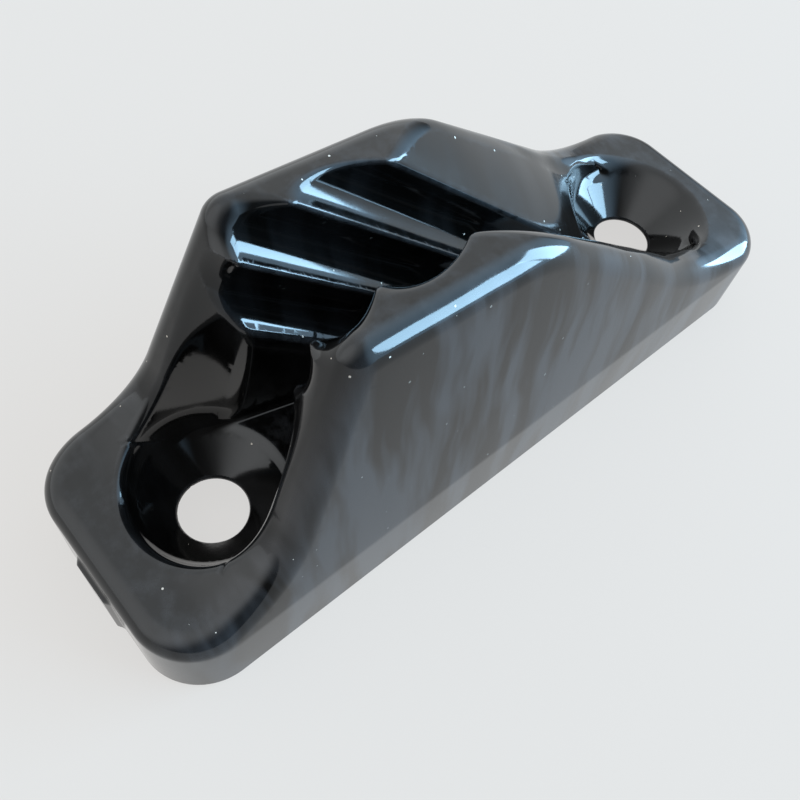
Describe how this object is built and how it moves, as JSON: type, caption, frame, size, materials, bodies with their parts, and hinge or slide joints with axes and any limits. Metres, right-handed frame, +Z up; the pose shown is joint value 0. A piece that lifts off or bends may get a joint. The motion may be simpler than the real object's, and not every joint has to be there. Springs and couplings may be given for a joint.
{
  "type": "jam cleat",
  "caption": "One-piece moulded jam cleat: a V groove with slanted scooped teeth between two walls, on a foot with countersunk screw wells.",
  "frame": {"origin": "middle of the flat underside, midway between the two screw holes", "axes": "+X along the rope from the steep entry end to the sloping exit end, +Z up away from the deck"},
  "size_m": [0.0643, 0.0196, 0.0259],
  "materials": {
    "nylon": "glossy black, as moulded"
  },
  "bodies": {
    "root": {"cleat_body": "nylon"}
  },
  "joints": []
}
